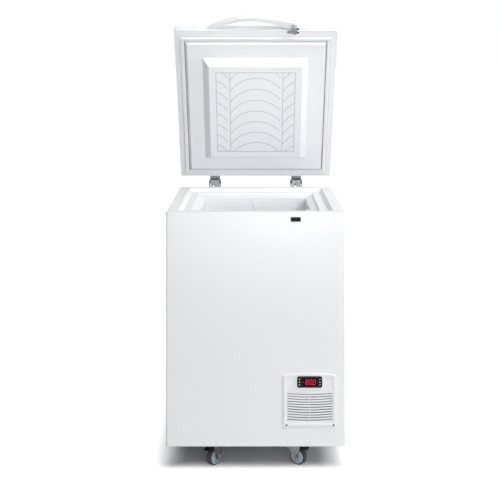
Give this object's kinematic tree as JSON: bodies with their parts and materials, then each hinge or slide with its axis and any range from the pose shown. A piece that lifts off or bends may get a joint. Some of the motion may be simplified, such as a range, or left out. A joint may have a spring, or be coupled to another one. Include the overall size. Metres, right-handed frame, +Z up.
{
  "type": "chest ultra low temperature freezer",
  "caption": "Upright chest freezer for deep frozen samples: hinged insulated lid with a handle lock, stepped rim, louvred controller panel and swivel casters.",
  "frame": {"origin": "on the floor, under the middle of the whole object with its lid open as shown", "axes": "+Z up, +Y to the back where the lid hinges are, +X to the right as seen from the front"},
  "size_m": [0.552, 0.6576, 1.4136],
  "materials": {
    "painted_white": "smooth white powder coat",
    "moulded_white": "vacuum formed white plastic",
    "white_trim": "moulded white plastic",
    "liner_metal": "pale stucco enamel",
    "foam": null,
    "seal": "soft grey seal",
    "black_plastic": "fine grained black",
    "zinc": "zinc plated pressed steel",
    "galvanised": "galvanised sheet",
    "wheel_grey": "grey moulded tread and web",
    "compressor_black": "black enamel",
    "copper": "drawn copper",
    "fins": "bare fins",
    "lock_metal": "plated barrel",
    "display": "dark red window",
    "lamp": "clear lens",
    "key": "white keys",
    "mount_rubber": "soft black"
  },
  "bodies": {
    "cabinet": {"back_panel": "galvanised", "base_pan": "galvanised", "bulkhead": "galvanised", "caster_plates": "zinc", "compressor": "compressor_black", "compressor_mounts": "mount_rubber", "condenser": "fins", "controller_housing": "black_plastic", "cover_screws": "zinc", "display_window": "display", "electrical_box": "black_plastic", "evaporator_coil": "copper", "fan_motor": "black_plastic", "fan_shroud": "galvanised", "filter_drier": "copper", "foam_insulation": "foam", "front_fascia": "white_trim", "hinge_bracket_left": "zinc", "hinge_bracket_right": "zinc", "hinge_pins": "zinc", "hinge_springs": "zinc", "indicator_lamps": "lamp", "inner_liner": "liner_metal", "liner_buttons": "black_plastic", "outer_shell": "painted_white", "power_inlet": "black_plastic", "probe_cover": "white_trim", "rear_grille": "painted_white", "refrigerant_tubes": "copper", "rim_collar": "moulded_white", "strike_plate": "black_plastic"},
    "lid": {"lid_outer_skin": "painted_white", "lid_foam": "foam", "lid_liner": "moulded_white", "lid_gasket": "seal", "hinge_leaf_left": "zinc", "hinge_leaf_right": "zinc", "handle": "white_trim", "handle_screws": "zinc"},
    "lid_lock": {"lock_barrel": "lock_metal", "lock_hook": "black_plastic"},
    "key_down": {"key_down": "key"},
    "key_set": {"key_set": "key"},
    "key_up": {"key_up": "key"},
    "fan": {"fan_blade": "fins"},
    "fork_front_left": {"caster_fork_front_left": "zinc"},
    "wheel_front_left": {"caster_wheel_front_left": "wheel_grey"},
    "fork_front_right": {"caster_fork_front_right": "zinc"},
    "wheel_front_right": {"caster_wheel_front_right": "wheel_grey"},
    "fork_rear_left": {"caster_fork_rear_left": "zinc"},
    "wheel_rear_left": {"caster_wheel_rear_left": "wheel_grey"},
    "fork_rear_right": {"caster_fork_rear_right": "zinc"},
    "wheel_rear_right": {"caster_wheel_rear_right": "wheel_grey"},
    "pedal_front_left": {"brake_pedal_front_left": "black_plastic"},
    "pedal_front_right": {"brake_pedal_front_right": "black_plastic"}
  },
  "joints": [
    {"name": "lid_hinge", "type": "hinge", "parent": "cabinet", "child": "lid", "pos_m": [0, 0.3198, 0.811], "axis": [-1, 0, 0], "range_deg": [-59, 0]},
    {"name": "lock_turn", "type": "hinge", "parent": "lid", "child": "lid_lock", "pos_m": [0.131, -0.01704, 1.37742], "axis": [0, -0.8572, -0.515], "range_deg": [0, 90]},
    {"name": "key_down_press", "type": "slide", "parent": "cabinet", "child": "key_down", "axis": [0, 1, 0], "range_m": [0, 0.0006], "stiffness_N_per_m": 300, "springref_m": -0.001},
    {"name": "key_set_press", "type": "slide", "parent": "cabinet", "child": "key_set", "axis": [0, 1, 0], "range_m": [0, 0.0006], "stiffness_N_per_m": 300, "springref_m": -0.001},
    {"name": "key_up_press", "type": "slide", "parent": "cabinet", "child": "key_up", "axis": [0, 1, 0], "range_m": [0, 0.0006], "stiffness_N_per_m": 300, "springref_m": -0.001},
    {"name": "fan_spin", "type": "hinge", "parent": "cabinet", "child": "fan", "pos_m": [0.1655, -0.2062, 0.1775], "axis": [0, 1, 0], "continuous": true},
    {"name": "swivel_front_left", "type": "hinge", "parent": "cabinet", "child": "fork_front_left", "pos_m": [-0.118, -0.2502, 0.07], "axis": [0, 0, 1], "continuous": true},
    {"name": "roll_front_left", "type": "hinge", "parent": "fork_front_left", "child": "wheel_front_left", "pos_m": [-0.13059, -0.26574, 0.025], "axis": [0.7771, -0.6293, 0], "continuous": true},
    {"name": "brake_front_left", "type": "hinge", "parent": "fork_front_left", "child": "pedal_front_left", "pos_m": [-0.12178, -0.25486, 0.0595], "axis": [0.7771, -0.6293, 0], "range_deg": [0, 8]},
    {"name": "swivel_front_right", "type": "hinge", "parent": "cabinet", "child": "fork_front_right", "pos_m": [0.118, -0.2502, 0.07], "axis": [0, 0, 1], "continuous": true},
    {"name": "roll_front_right", "type": "hinge", "parent": "fork_front_right", "child": "wheel_front_right", "pos_m": [0.13458, -0.26138, 0.025], "axis": [0.5592, 0.829, 0], "continuous": true},
    {"name": "brake_front_right", "type": "hinge", "parent": "fork_front_right", "child": "pedal_front_right", "pos_m": [0.12297, -0.25355, 0.0595], "axis": [0.5592, 0.829, 0], "range_deg": [0, 8]},
    {"name": "swivel_rear_left", "type": "hinge", "parent": "cabinet", "child": "fork_rear_left", "pos_m": [-0.118, 0.2148, 0.07], "axis": [0, 0, 1], "continuous": true},
    {"name": "roll_rear_left", "type": "hinge", "parent": "fork_rear_left", "child": "wheel_rear_left", "pos_m": [-0.10955, 0.19667, 0.025], "axis": [0.9063, 0.4226, 0], "continuous": true},
    {"name": "swivel_rear_right", "type": "hinge", "parent": "cabinet", "child": "fork_rear_right", "pos_m": [0.118, 0.2148, 0.07], "axis": [0, 0, 1], "continuous": true},
    {"name": "roll_rear_right", "type": "hinge", "parent": "fork_rear_right", "child": "wheel_rear_right", "pos_m": [0.11116, 0.19601, 0.025], "axis": [0.9397, -0.342, 0], "continuous": true}
  ]
}
